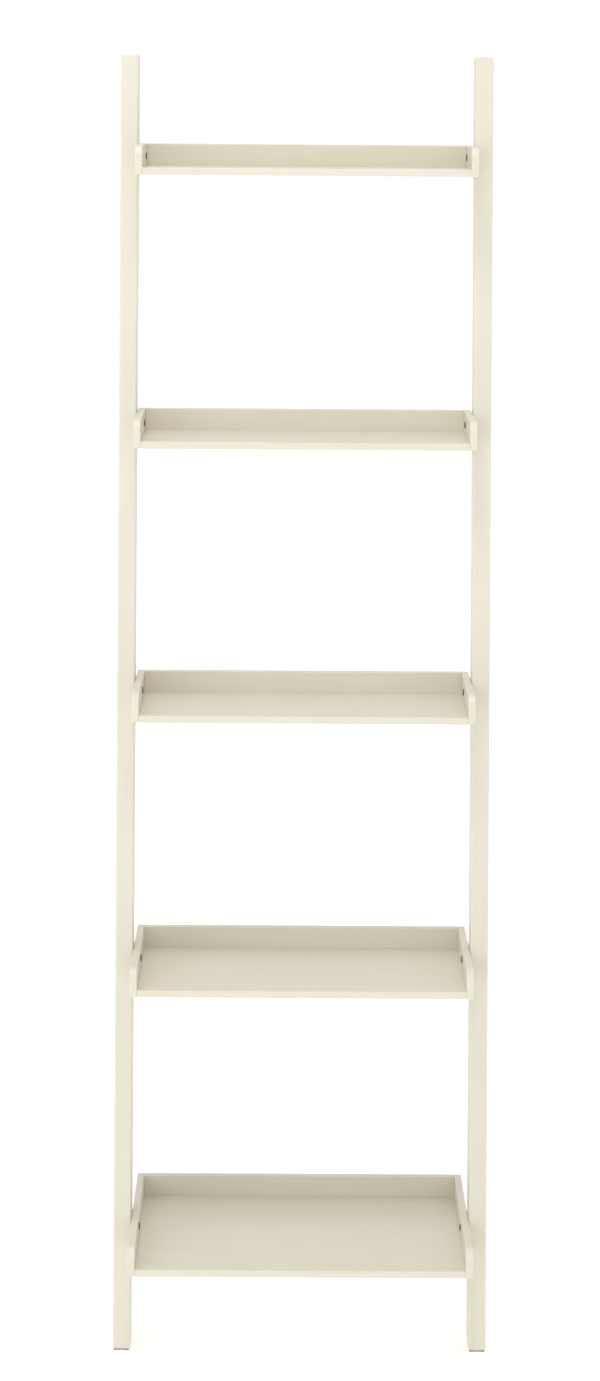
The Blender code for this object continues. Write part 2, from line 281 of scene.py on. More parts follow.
def eased_bar(along, box, ease, bend=None, corners=None):
    """The skin of a box whose edges are rounded by ease.

    bend is a function of the rings' places that gives low_b and high_b, for a bar whose
    second side moves along the way. corners are the outline's own four radii.
    """
    low, high = box
    first, second = [axis for axis in range(3) if axis != along]
    between = () if bend is None else bend.stations
    places, insets, round_end = eased_ends(low[along], high[along], ease, between)
    low_b, high_b = (low[second], high[second]) if bend is None else bend(places)
    radii = ease * (1 + LEAST_CORNER) if corners is None else np.array(corners)
    radius = np.maximum(np.reshape(radii, (1, -1)) - insets[:, None], LEAST_CORNER * ease)
    rings, round_side = eased_rectangles(
        low[first] + insets, high[first] - insets, low_b + insets, high_b - insets, radius
    )
    wear = np.maximum(round_end[:, None], round_side)
    return skin(carried(along, places, rings), wear)


# %% [markdown]
# ## Turned shapes
# Bolts, inserts, dowels and screws come off a lathe. Each is a list of distances along an axis
# with a radius at each, turned round that axis. Where the radius also changes with the angle,
# the same formula gives a hexagon socket, a cross recess, a dowel's flutes or a thread.
# The small steps of a profile are counted in tenths of a millimetre.

# %% Turn a profile round an axis
SIDES = 48
ANGLES = np.arange(SIDES) * 2 * math.pi / SIDES
TENTH = 0.0001
CUT_FLAT = 0.2


def turned(centre, axis, profile, pipe=False):
    """A skin round an axis: centre + distance * axis + radius * (cos t * across + sin t * up).

    The profile is a list of (distance, radius), where a radius is one number or SIDES of them.
    """
    axis = np.array(axis, float)
    across = np.cross(axis, (0, 0, 1))
    across /= np.linalg.norm(across)
    up = np.cross(across, axis)
    distance = np.array([row[0] for row in profile])[:, None, None]
    radius = np.array([np.broadcast_to(row[1], SIDES) for row in profile])[..., None]
    ring = np.cos(ANGLES)[:, None] * across + np.sin(ANGLES)[:, None] * up
    return skin(np.array(centre) + distance * axis + radius * ring, pipe=pipe)


def place_on_lathe(node, end):
    """The middle of a turned piece's inner end, its radius and its length, from its CAD box."""
    low, high = box_of(node)
    middle = (low + high) / 2
    start = (end * min(abs(low[0]), abs(high[0])), middle[1], middle[2])
    return start, (high[1] - low[1]) / 2, high[0] - low[0]


def hexagon(flats):
    """Radius of a hexagon at each angle: half its flats over the cosine from a flat's middle."""
    sixth = math.pi / 3
    return flats / 2 / np.cos((ANGLES + sixth / 2) % sixth - sixth / 2)


def thread(start, end, core, crest, pitch, steps=8):
    """Rings of a screw thread: a ridge between core and crest that climbs a pitch each turn.

    The ridge is a triangle wave of distance / pitch - angle / full turn with its tops and
    roots cut flat, and it fades out over the first and the last pitch.
    """
    distances = np.linspace(start, end, int(steps * (end - start) / pitch) + 1)
    phase = (distances[:, None] / pitch - ANGLES / (2 * math.pi)) % 1
    ridge = np.clip((1 + 2 * CUT_FLAT) * (1 - np.abs(2 * phase - 1)) - CUT_FLAT, 0, 1)
    from_ends = np.minimum(distances - start, end - distances)
    fade = np.clip(from_ends / pitch, 0, 1)[:, None]
    return list(zip(distances, core + (crest - core) * ridge * fade))


print("a ring of a turned piece has", SIDES, "points")

# %% [markdown]
# ## Materials as node trees
# All finishes are procedural: noise and waves worked out from the place of each point, so
# nothing has to be unwrapped, and the pattern never stretches. Coordinates come from the
# object, in metres. Every piece's object sits at the origin, so they are the room's metres.
# The helper adds a node and fills its sockets in one go, with a number or with another socket.

# %% Helpers for node trees


def add_node(tree, kind, sockets=None, **settings):
    """Adds a shader node, then fills the named sockets with values or links."""
    node = tree.nodes.new("ShaderNode" + kind)
    for setting, value in settings.items():
        setattr(node, setting, value)
    for socket, value in (sockets or {}).items():
        if isinstance(value, bpy.types.NodeSocket):
            tree.links.new(value, node.inputs[socket])
        else:
            node.inputs[socket].default_value = value
    return node


def start_material(name):
    material = bpy.data.materials.new(name)
    material.use_nodes = True
    tree = material.node_tree
    return material, tree, tree.nodes["Principled BSDF"]


def place_of(tree, lean=0.0):
    """The object's coordinates, turned upright by the lean."""
    room = add_node(tree, "TexCoord").outputs["Object"]
    return add_node(tree, "Mapping", {"Vector": room, "Rotation": (lean, 0, 0)}).outputs[0]


def noise(tree, place, scales, detail=3.0, roughness=0.5):
    """Noise whose patches are one over scales metres long in x, y and z. Output from 0 to 1."""
    stretched = add_node(tree, "VectorMath", {0: place, 1: scales}, operation="MULTIPLY")
    sockets = {"Vector": stretched.outputs[0], "Scale": 1.0}
    sockets |= {"Detail": detail, "Roughness": roughness}
    return add_node(tree, "TexNoise", sockets).outputs["Fac"]


def evenly(fineness):
    """Noise scales that are the same on all three axes."""
    return (fineness, fineness, fineness)


def spread(tree, value, low, high, to_low=0.0, to_high=1.0):
    """Carries a value from one range to another, and stops at the new range's ends."""
    sockets = {"Value": value, "From Min": low, "From Max": high}
    sockets |= {"To Min": to_low, "To Max": to_high}
    return add_node(tree, "MapRange", sockets).outputs["Result"]


def full_range(tree, fac, to_low=0.0, to_high=1.0):
    """Carries the middle of a noise, where most of its values lie, to a whole range."""
    return spread(tree, fac, 0.3, 0.7, to_low, to_high)


def times(tree, first, second):
    return add_node(tree, "Math", {0: first, 1: second}, operation="MULTIPLY").outputs[0]


def plus(tree, first, second):
    return add_node(tree, "Math", {0: first, 1: second}, operation="ADD").outputs[0]


def mixed(tree, factor, first, second):
    """A colour between two, where each is a colour or a colour socket."""
    first = (*first, 1) if isinstance(first, tuple) else first
    second = (*second, 1) if isinstance(second, tuple) else second
    sockets = {0: factor, 6: first, 7: second}
    return add_node(tree, "Mix", sockets, data_type="RGBA", clamp_factor=True).outputs[2]


def bumped(tree, height, distance, strength=1.0, below=None):
    """Bends the shading by a height of so many metres, on top of another bump if given."""
    sockets = {"Height": height, "Distance": distance, "Strength": strength}
    if below is not None:
        sockets["Normal"] = below
    return add_node(tree, "Bump", sockets).outputs["Normal"]


# %% [markdown]
# ## Cream satin paint
# The shelf is wood under a warm cream paint with a soft sheen. Close up, such paint is never
# one colour: the brush leaves long ridges along each piece, the coat is a little thicker in
# some places than in others, fine pores of the wood show through, and hands and dusters rub
# the edges smoother and paler. Each of these is its own noise at its own size.
# The strokes follow the piece, so there is one paint for each way a piece lies. An image of
# paint would repeat itself on five trays, and noise in the room's metres never does.

# %% Cream paint for each direction
PAINT_BODY = (0.716, 0.688, 0.592)
PAINT_THIN = (0.666, 0.633, 0.526)
PAINT_RUBBED = (0.765, 0.742, 0.668)
STROKE_FINE, STROKE_LONG, STROKE_HEIGHT = 520.0, 9.0, 0.00013
BAND_FINE, BAND_LONG, BAND_HEIGHT = 60.0, 3.0, 0.00026
PORE_FINE, PORE_LONG, PORE_DEPTH = 1500.0, 45.0, 0.00004
PEEL_FINE, PEEL_HEIGHT = 900.0, 0.00002
CLOUD_FINE, PATCH_FINE = 7.0, 38.0
CLOUD_SHARE, BAND_SHARE, STROKE_SHARE = 0.38, 0.34, 0.22
RUBBED_LEAST, RUBBED_MOST = 0.15, 0.90
SATIN_SMOOTH, SATIN_ROUGH = 0.40, 0.50
CLOUD_ROUGHNESS, RUBBED_GLOSS = 0.03, 0.08
PAINT_IOR = 1.48


def along_strokes(axis, fine, long):
    """Noise scales that are long on one axis and fine on the two others."""
    return tuple(long if way == axis else fine for way in range(3))


def cream_paint(name, axis, lean=0.0):
    """Brushed satin paint over faint wood grain, with strokes along one axis."""
    material, tree, shader = start_material(name)
    place = place_of(tree, lean)
    strokes = noise(tree, place, along_strokes(axis, STROKE_FINE, STROKE_LONG), 4.0, 0.62)
    bands = noise(tree, place, along_strokes(axis, BAND_FINE, BAND_LONG))
    pores = noise(tree, place, along_strokes(axis, PORE_FINE, PORE_LONG), detail=2.0)
    clouds = noise(tree, place, evenly(CLOUD_FINE), roughness=0.55)
    patches = noise(tree, place, evenly(PATCH_FINE), 4.0, 0.6)
    peel = noise(tree, place, evenly(PEEL_FINE), detail=2.0)
    thinness = plus(tree, times(tree, full_range(tree, clouds), CLOUD_SHARE),
                    plus(tree, times(tree, full_range(tree, bands), BAND_SHARE),
                         times(tree, full_range(tree, strokes), STROKE_SHARE)))
    coat = mixed(tree, thinness, PAINT_BODY, PAINT_THIN)
    wear = add_node(tree, "Attribute", attribute_name="wear").outputs["Fac"]
    reach = spread(tree, patches, 0.35, 0.65, RUBBED_LEAST, RUBBED_MOST)
    rubbed = times(tree, wear, reach)
    tree.links.new(mixed(tree, rubbed, coat, PAINT_RUBBED), shader.inputs["Base Color"])
    satin = spread(tree, strokes, 0.25, 0.75, SATIN_SMOOTH, SATIN_ROUGH)
    cloudy = full_range(tree, clouds, -CLOUD_ROUGHNESS, CLOUD_ROUGHNESS)
    roughness = plus(tree, plus(tree, satin, cloudy), times(tree, rubbed, -RUBBED_GLOSS))
    tree.links.new(roughness, shader.inputs["Roughness"])
    shader.inputs["IOR"].default_value = PAINT_IOR
    pits = spread(tree, pores, 0.28, 0.42, -1.0, 0.0)
    relief = bumped(tree, pits, PORE_DEPTH, 0.5)
    relief = bumped(tree, strokes, STROKE_HEIGHT, 0.55, relief)
    relief = bumped(tree, bands, BAND_HEIGHT, 0.5, relief)
    relief = bumped(tree, peel, PEEL_HEIGHT, 0.5, relief)
    tree.links.new(relief, shader.inputs["Normal"])
    return material


UPRIGHT_PAINT = cream_paint("cream_paint_upright", axis=2, lean=LEAN)
CROSSWISE_PAINT = cream_paint("cream_paint_crosswise", axis=0)
DEPTHWISE_PAINT = cream_paint("cream_paint_depthwise", axis=1)
print("three paints: up the rails, across the boards, and front to back on the sides")

# %% [markdown]
# ## Steel, beech and rubber
# The bolts are steel with a dark oxide, which is a dull dark brown and a little mottled. The
# hangers, screws and inserts are zinc plated: pale, with a faint crystal pattern and fine
# lines from rolling. Zinc crystals are cells, so a Voronoi pattern gives them, and Noise alone
# would look like dirt. The dowels are beech with short dark flecks along the grain, and the
# foot pads are rubber with a soft grain.

# %% Metals
OXIDE_DARK, OXIDE_PALE = (0.110, 0.098, 0.085), (0.190, 0.170, 0.145)
OXIDE_MOTTLE = 420.0
SCRATCHES = (5200.0, 700.0, 5200.0)
SCRATCH_DEPTH = 0.00001
ZINC_GREY, ZINC_BRIGHT = (0.52, 0.52, 0.50), (0.68, 0.68, 0.66)
ZINC_STAIN, STAIN_FINE, STAIN_MOST = (0.40, 0.39, 0.36), 120.0, 0.35
ZINC_CRYSTALS = 700.0
ROLLING_LINES = (3600.0, 3600.0, 160.0)


def dark_steel():
    """Dark oxide on steel: mottled, with finer scratches than the mottling."""
    material, tree, shader = start_material("dark_steel_oxide")
    place = place_of(tree)
    mottle = noise(tree, place, evenly(OXIDE_MOTTLE), 4.0, 0.6)
    scratches = noise(tree, place, SCRATCHES, detail=2.0)
    colour = mixed(tree, spread(tree, mottle, 0.35, 0.65), OXIDE_DARK, OXIDE_PALE)
    tree.links.new(colour, shader.inputs["Base Color"])
    tree.links.new(full_range(tree, mottle, 0.34, 0.52), shader.inputs["Roughness"])
    tree.links.new(bumped(tree, scratches, SCRATCH_DEPTH, 0.4), shader.inputs["Normal"])
    shader.inputs["Metallic"].default_value = 1.0
    return material


def zinc_steel():
    """Zinc plate: pale crystals, each with its own tint, under fine rolling lines."""
    material, tree, shader = start_material("zinc_plated_steel")
    place = place_of(tree, LEAN)
    crystals = add_node(tree, "TexVoronoi", {"Vector": place, "Scale": ZINC_CRYSTALS})
    tint = add_node(tree, "SeparateColor", {0: crystals.outputs["Color"]}).outputs[0]
    lines = noise(tree, place, ROLLING_LINES, roughness=0.6)
    stain = spread(tree, noise(tree, place, evenly(STAIN_FINE)), 0.5, 0.8, 0.0, STAIN_MOST)
    colour = mixed(tree, stain, mixed(tree, tint, ZINC_GREY, ZINC_BRIGHT), ZINC_STAIN)
    tree.links.new(colour, shader.inputs["Base Color"])
    tree.links.new(full_range(tree, lines, 0.26, 0.44), shader.inputs["Roughness"])
    relief = bumped(tree, lines, SCRATCH_DEPTH, 0.4)
    tree.links.new(bumped(tree, tint, SCRATCH_DEPTH, 0.3, relief), shader.inputs["Normal"])
    shader.inputs["Metallic"].default_value = 1.0
    return material


DARK_STEEL = dark_steel()
ZINC_STEEL = zinc_steel()
print("bolts:", DARK_STEEL.name, "- hangers, screws and inserts:", ZINC_STEEL.name)

# %% Beech and rubber
BEECH_PALE, BEECH_BAND = (0.66, 0.47, 0.30), (0.52, 0.34, 0.20)
BEECH_FLECK = (0.30, 0.17, 0.09)
GROWTH_BANDS, FLECKS = (20.0, 900.0, 500.0), (350.0, 4200.0, 4200.0)
FLECK_HEIGHT = 0.00004
RUBBER_CLEAN, RUBBER_DUSTY = (0.48, 0.47, 0.44), (0.40, 0.385, 0.35)
GRAIN_FINE, GRAIN_HEIGHT = 1600.0, 0.00005
DUST_FINE, DUST_MOST = 90.0, 0.6


def beech():
    """Plain beech: soft growth bands with short dark flecks along the dowel."""
    material, tree, shader = start_material("beech_end_to_end")
    place = place_of(tree)
    bands = noise(tree, place, GROWTH_BANDS)
    flecks = noise(tree, place, FLECKS, detail=2.0)
    colour = mixed(tree, full_range(tree, bands), BEECH_PALE, BEECH_BAND)
    dark = spread(tree, flecks, 0.60, 0.72, 0.0, 0.6)
    tree.links.new(mixed(tree, dark, colour, BEECH_FLECK), shader.inputs["Base Color"])
    tree.links.new(full_range(tree, bands, 0.52, 0.68), shader.inputs["Roughness"])
    tree.links.new(bumped(tree, flecks, FLECK_HEIGHT, 0.5), shader.inputs["Normal"])
    return material


def foot_rubber():
    """Pale moulded rubber with a fine grain and a little dust."""
    material, tree, shader = start_material("moulded_foot_rubber")
    place = place_of(tree)
    grain = noise(tree, place, evenly(GRAIN_FINE), roughness=0.6)
    dust = noise(tree, place, evenly(DUST_FINE), 4.0, 0.6)
    dusty = spread(tree, dust, 0.4, 0.75, 0.0, DUST_MOST)
    colour = mixed(tree, dusty, RUBBER_CLEAN, RUBBER_DUSTY)
    tree.links.new(colour, shader.inputs["Base Color"])
    tree.links.new(full_range(tree, dust, 0.70, 0.88), shader.inputs["Roughness"])
    tree.links.new(bumped(tree, grain, GRAIN_HEIGHT, 0.5), shader.inputs["Normal"])
    return material


BEECH = beech()
FOOT_RUBBER = foot_rubber()
print("dowels:", BEECH.name, "- pads:", FOOT_RUBBER.name)

# %% [markdown]
# ## The rails
# A rail is a plank on edge. It leans as it goes up, but its foot and its top are cut level, so
# the section that is carried up is level too: only its front and back move with the height.
# Near the top the back stops at the wall, which is the plumb flat that lets the rail stand
# against a wall without rocking on one corner.

# %% Shape of a rail
RAIL_EASE = 0.0022
rail_box = box_of("rail_right")
WALL = rail_box[1][1]
PLUMB_FROM = lowest_bolt[2] + (WALL - HALF_RUN - lowest_bolt[1]) / SLOPE


def rail_front_and_back(heights):
    """The middle line at each height, less and plus half the run, and no further than the wall."""
    middle = lowest_bolt[1] + (heights - lowest_bolt[2]) * SLOPE
    return middle - HALF_RUN, np.minimum(middle + HALF_RUN, WALL)


rail_front_and_back.stations = PLUMB_FROM + FLAT_MARGIN * np.array([-1, 0, 1])
print(f"the plumb flat starts {PLUMB_FROM:.3f} m up, {rail_box[1][2] - PLUMB_FROM:.3f} m long")

# %% [markdown]
# In its inner face a rail has a hole for the insert and one for the dowel of each tray. In its
# rear face, behind the hanger, it has a pocket for the head of the wall screw, and the holes
# of the hanger's two screws. Most of this is out of sight once the shelf is together, but it
# is what somebody finds who takes it apart.

# %% Drills for a rail
FIT_GAP = 0.0003
PAST = 0.001
INSERT_ROOM = 0.0015
OUT_OF_RAIL = np.array([0.0, math.cos(LEAN), -math.sin(LEAN)])
UP_THE_RAIL = np.array([0.0, math.sin(LEAN), math.cos(LEAN)])


def socket_drill(node, end, room):
    """A plain drill for the hole that takes a turned piece, a little deeper than its far end."""
    low, high = box_of(node)
    centre = (low + high) / 2
    radius = (high[1] - low[1]) / 2 + FIT_GAP
    face = abs(rail_box[0][0])
    depth = max(abs(low[0]), abs(high[0])) + room - face
    start = (end * face, centre[1], centre[2])
    return turned(start, (end, 0, 0), [(-PAST, radius), (depth, radius)])


print("a rail's drills leave", 1000 * FIT_GAP, "mm round each fixing")

# %% [markdown]
# A hanger leans with its rail, so its own shapes are worked out flat, with their third
# direction out of the rail, and then turned onto the rail with the lean.

# %% Lay a flat shape on a rail's rear face


def on_rail(side, shape):
    """Carries a skin from the hanger's own axes (across, out, up) to its place on a rail."""
    points, faces, wear = shape
    axes = np.array([(1.0, 0.0, 0.0), OUT_OF_RAIL, UP_THE_RAIL])
    return points @ axes + box_of(f"wall_hanger_{side}").mean(axis=0), faces, wear


PLATE_HALF = np.array([0.0075, 0.0008, 0.023])
KEYHOLE_RADIUS = 0.00425
KEYHOLE_RISE = 0.010
POCKET_MARGIN = 0.0015
POCKET_DEPTH = 0.006
RAIL_FACE = -PLATE_HALF[1] - FIT_GAP
SCREW_FROM_END = 0.006
SCREW_UP = {"upper": PLATE_HALF[2] - SCREW_FROM_END, "lower": SCREW_FROM_END - PLATE_HALF[2]}


def pocket_drill():
    """The hollow behind the keyhole, on the hanger's own axes."""
    half = KEYHOLE_RADIUS + POCKET_MARGIN
    tall = half + KEYHOLE_RISE / 2
    low, high = (-half, RAIL_FACE - POCKET_DEPTH, -tall), (half, RAIL_FACE + PAST, tall)
    return eased_bar(1, (low, high), POCKET_MARGIN / 4)


# %% [markdown]
# The hanger's screws are countersunk: their heads taper, so that they lie flush with the
# plate. The same taper, a little wider, is the drill for the plate and for the rail.

# %% Shape of a hanger screw
SCREW_RADIUS = 0.0015
SCREW_HEAD_RADIUS = 0.0029
SCREW_HEAD_HEIGHT = 0.0013
SCREW_LENGTH = 0.014
SCREW_POINT = 0.004
SCREW_PITCH = 0.0012
SCREW_CORE = 0.65 * SCREW_RADIUS
RECESS_DEPTH = 0.0012
RECESS_HUB = 0.0005
RECESS_WING = 0.0010
WING_SHARPNESS = 6


def screw_drill(place):
    """A tapered hole for the head, a straight one for the shank and a cone for the point."""
    head, shank = SCREW_HEAD_RADIUS + FIT_GAP, SCREW_RADIUS + FIT_GAP
    profile = [(-FIT_GAP, head), (SCREW_HEAD_HEIGHT, shank)]
    profile += [(SCREW_LENGTH - SCREW_POINT, shank), (SCREW_LENGTH + FIT_GAP, 2 * FIT_GAP)]
    return turned((0, PLATE_HALF[1], place), (0, -1, 0), profile)


def screw(place):
    """A cross recess, a countersunk head, a coarse thread and a point."""
    recess = RECESS_HUB + RECESS_WING * np.abs(np.cos(2 * ANGLES)) ** WING_SHARPNESS
    profile = [(RECESS_DEPTH, TENTH), (RECESS_DEPTH - 2 * TENTH, 0.4 * recess), (0.0, recess)]
    profile += [(0.0, SCREW_HEAD_RADIUS - 3 * TENTH), (TENTH, SCREW_HEAD_RADIUS - TENTH)]
    profile += [(2 * TENTH, SCREW_HEAD_RADIUS - 2 * TENTH), (SCREW_HEAD_HEIGHT, SCREW_RADIUS)]
    start, end = SCREW_HEAD_HEIGHT + 3 * TENTH, SCREW_LENGTH - SCREW_POINT
    profile += thread(start, end, SCREW_CORE, SCREW_RADIUS, SCREW_PITCH)
    profile += [(SCREW_LENGTH - SCREW_POINT / 2, 0.6 * SCREW_CORE), (SCREW_LENGTH, 2 * TENTH)]
    return turned((0, PLATE_HALF[1], place), (0, -1, 0), profile)


# %% Make the rails
for side, end in ENDS.items():
    name = f"rail_{side}"
    shape = eased_bar(2, box_of(name), RAIL_EASE, bend=rail_front_and_back)
    rail = add_piece(name + "_plank", shape, UPRIGHT_PAINT, name)
    drills = [socket_drill(f"tray_{tray}_insert_{side}", end, INSERT_ROOM) for tray in TRAYS]
    drills += [socket_drill(f"tray_{tray}_dowel_{side}", end, FIT_GAP) for tray in TRAYS]
    drill(rail, drills)
    for shape in [pocket_drill(), *map(screw_drill, SCREW_UP.values())]:
        drill(rail, [on_rail(side, shape)])
    print(rail.name, len(rail.data.polygons), "faces")

# %% [markdown]
# ## Boards and backs
# A tray is a flat board with a low gallery on three sides. The board stops between the sides
# and in front of the back panel. Its front edge is the one that hands touch, so its front
# corners are eased, and so are all four long edges of a back panel. Where a board meets the
# back or a side, paint fills the joint, so those edges are almost square and the joint is a
# hair line. Both boards and backs are bars carried across the shelf.

# %% Make boards and backs
BOARD_EASE = 0.0012
END_EASE = 0.0002
PAINT_FILL = 0.00022
# corners in order: rear top, front top, front bottom, rear bottom
CORNERS = {
    "board": (END_EASE, BOARD_EASE, BOARD_EASE, END_EASE),
    "back": 4 * (BOARD_EASE,),
}
FILLED = {
    "board": np.array([(-PAINT_FILL, 0, 0), (PAINT_FILL, PAINT_FILL, 0)]),
    "back": np.array([(-PAINT_FILL, 0, 0), (PAINT_FILL, 0, 0)]),
}

for tray in TRAYS:
    for part in ("board", "back"):
        node = f"tray_{tray}_{part}"
        shape = eased_bar(0, box_of(node) + FILLED[part], END_EASE, corners=CORNERS[part])
        add_piece(node + "_painted", shape, CROSSWISE_PAINT, node)

# %% [markdown]
# ## Tray sides
# A side is a strip on edge whose top front corner is a quarter circle, which is kinder to
# hands than a point and gives the tray its look. As a bar it lies across the shelf: its
# section is the long outline, and its thickness is the short way, so the same formula makes
# it, with a big radius at that one corner.
# It is drilled right through for the bolt, and part of the way from outside for the dowel
# that stops the tray tipping round the bolt.

# %% Drills for a tray side
CORNER_RADIUS = 0.015
BOLT_RADIUS = 0.003


def bolt_drill(node, end, panel):
    """A plain hole through the side, a little wider than the bolt's shank."""
    centre = box_of(node).mean(axis=0)
    inner, outer = np.sort(np.abs(panel[:, 0]))
    shank = BOLT_RADIUS + FIT_GAP
    profile = [(-PAST, shank), (outer - inner + PAST, shank)]
    return turned((end * inner, centre[1], centre[2]), (end, 0, 0), profile)


def dowel_drill(node, end, panel):
    """A blind hole from the side's outer face to just past the dowel's near end."""
    low, high = box_of(node)
    centre = (low + high) / 2
    outer = np.abs(panel[:, 0]).max()
    near = min(abs(low[0]), abs(high[0])) - FIT_GAP
    radius = (high[1] - low[1]) / 2 + FIT_GAP
    profile = [(-PAST, radius), (outer - near, radius)]
    return turned((end * outer, centre[1], centre[2]), (-end, 0, 0), profile)


# %% Make the tray sides
for tray in TRAYS:
    for side, end in ENDS.items():
        node = f"tray_{tray}_side_{side}"
        panel = box_of(node)
        square = BOARD_EASE * (1 + LEAST_CORNER)
        shape = eased_bar(0, panel, BOARD_EASE, corners=(square, CORNER_RADIUS, square, square))
        strip = add_piece(node + "_painted", shape, DEPTHWISE_PAINT, node)
        drill(strip, [bolt_drill(f"tray_{tray}_bolt_{side}", end, panel),
                      dowel_drill(f"tray_{tray}_dowel_{side}", end, panel)])
print("tray sides drilled:", 2 * len(TRAYS))

# %% [markdown]
# ## Bolts
# From inside a tray only the head of a bolt shows, as a dark dot near each rail. It is a thin
# round head with a hexagon socket, and it stands on the tray's side. The profile starts at the
# bottom of the socket, comes out to its edge, goes over the rounded head, and then along the
# plain part of the shank and its thread.

# %% Shape of a bolt
HEAD_HEIGHT = 0.0012
SOCKET_FLATS = 0.004
SOCKET_DEPTH = 0.0026
SOCKET_FOOT = 0.8
HEAD_ROUND = 0.0005
PLAIN_SHANK = 0.006
THREAD_PITCH = 0.001
THREAD_DEPTH = 0.0006


def bolt_profile(head_radius, length):
    """Distance from the head's face and radius, from the bottom of the socket to the tip."""
    quarter = np.linspace(0, math.pi / 2, ARC_STEPS + 1)
    socket = hexagon(SOCKET_FLATS)
    mouth = socket.max() + TENTH
    profile = [(SOCKET_DEPTH + 4 * TENTH, 2 * TENTH), (SOCKET_DEPTH, SOCKET_FOOT * socket)]
    profile += [(SOCKET_DEPTH - TENTH, socket), (4 * TENTH, socket), (0.0, mouth)]
    rim = head_radius - HEAD_ROUND
    profile += [(HEAD_ROUND * (1 - math.cos(t)), rim + HEAD_ROUND * math.sin(t)) for t in quarter]
    profile += [(HEAD_HEIGHT, head_radius), (HEAD_HEIGHT, BOLT_RADIUS)]
    tip = length - THREAD_PITCH
    core = BOLT_RADIUS - THREAD_DEPTH
    profile += [(PLAIN_SHANK - THREAD_DEPTH, BOLT_RADIUS)]
    profile += thread(PLAIN_SHANK, tip, core, BOLT_RADIUS, THREAD_PITCH)
    profile.append((length, core - 3 * TENTH))
    return profile


# %% Make the bolts
for tray in TRAYS:
    for side, end in ENDS.items():
        node = f"tray_{tray}_bolt_{side}"
        start, radius, length = place_on_lathe(node, end)
        shape = turned(start, (end, 0, 0), bolt_profile(radius, length))
        bolt = add_piece(node + "_turned", shape, DARK_STEEL, node)
print("a bolt has", len(bolt.data.polygons), "faces")

# %% [markdown]
# ## Inserts and dowels
# Wood alone would not hold a machine thread, so a threaded insert sits in the rail: a zinc
# plated tube with a coarse thread outside, which bites the wood, and a fine one inside for
# the bolt. It is a pipe, so its profile runs out along the outside and back along the bore.
# The dowel behind it has straight flutes, which let the air and spare glue out of its hole.

# %% Shapes of an insert and a dowel
INSERT_PITCH = 0.0026
INSERT_THREAD = 0.0008
FLUTES = 12
FLUTE_DEPTH = 0.00022
FLUTE_SHARPNESS = 3
DOWEL_TAPER = 0.0008


def insert_profile(radius, length):
    """Along the outer thread and back along the bore. The first ring joins the last."""
    start, end = 4 * TENTH, length - 4 * TENTH
    outside = thread(start, end, radius - INSERT_THREAD, radius, INSERT_PITCH, steps=14)
    bore = BOLT_RADIUS + FIT_GAP
    inside = thread(start, end, bore + 4 * TENTH, bore, THREAD_PITCH)
    rim, mouth = radius - 10 * TENTH, bore + 5 * TENTH
    return [(0.0, rim), *outside, (length, rim), (length, mouth), *reversed(inside), (0.0, mouth)]


def dowel_profile(radius, length):
    """Rounds its ends, and sinks by a raised cosine FLUTES times round."""
    quarter = np.linspace(0, math.pi / 2, ARC_STEPS + 1)
    flutes = FLUTE_DEPTH * (0.5 + 0.5 * np.cos(FLUTES * ANGLES)) ** FLUTE_SHARPNESS
    start = [(DOWEL_TAPER * (1 - math.cos(t)), radius - DOWEL_TAPER * (1 - math.sin(t)) - flutes)
             for t in quarter]
    return start + [(length - place, ring) for place, ring in reversed(start)]


# %% Make the inserts and dowels
for tray in TRAYS:
    for side, end in ENDS.items():
        for part, outline, material, slot, pipe in (
            ("insert", insert_profile, ZINC_STEEL, "zinc_steel", True),
            ("dowel", dowel_profile, BEECH, "beech", False),
        ):
            node = f"tray_{tray}_{part}_{side}"
            start, radius, length = place_on_lathe(node, end)
            shape = turned(start, (end, 0, 0), outline(radius, length), pipe=pipe)
            add_piece(f"{node}_turned", shape, material, node)
print("hidden fixings: 10 inserts and 10 dowels")

# %% [markdown]
# ## Foot pads
# A thin rubber pad under each rail keeps it from sliding and from marking the floor. It is an
# eased bar laid front to back, with shallow grooves across its underside for grip. The
# underside stays a hair above the floor, so that the two faces don't fight for the same place.

# %% Make the foot pads
PAD_EASE = 0.0005
GROOVE_DEPTH = 0.0006
GROOVE_PITCH = 0.004
GROOVE_STEPS = 8
GROOVES_FROM_END = 0.003
OFF_FLOOR = 0.00002


def pad_bend(low, high):
    """Underside and top of a pad: the underside rises into a groove every GROOVE_PITCH."""
    first, last = low[1] + GROOVES_FROM_END, high[1] - GROOVES_FROM_END
    places = np.arange(first, last, GROOVE_PITCH / GROOVE_STEPS)

    def bend(along):
        phase = (along - places[0]) / GROOVE_PITCH
        groove = np.clip(-np.cos(2 * math.pi * phase), 0, 1)
        inside = (along >= places[0]) & (along <= places[-1])
        underside = low[2] + OFF_FLOOR + GROOVE_DEPTH * groove * inside
        return underside, np.full(len(along), high[2])

    bend.stations = places
    return bend


for side in ENDS:
    node = f"foot_pad_{side}"
    low, high = box_of(node)
    shape = eased_bar(1, (low, high), PAD_EASE, bend=pad_bend(low, high))
    pad = add_piece(node + "_moulded", shape, FOOT_RUBBER, node)
print("a pad has", len(pad.data.polygons), "faces")

# %% [markdown]
# ## Wall hangers
# Since the shelf only leans, it is held to the wall near the top of each rail. The hanger is a
# small zinc plated plate with a keyhole: its round part passes over the head of a screw in the
# wall, and its slot drops onto the screw's neck. The outline of the keyhole is most of a
# circle, joined to a half circle as wide as the slot, and it is drilled through the plate.

# %% Make the hangers
PLATE_EASE = 0.0003
PLATE_CORNER = 0.003
SLOT_RADIUS = 0.00225
CIRCLE_POINTS, SLOT_POINTS = 33, 17


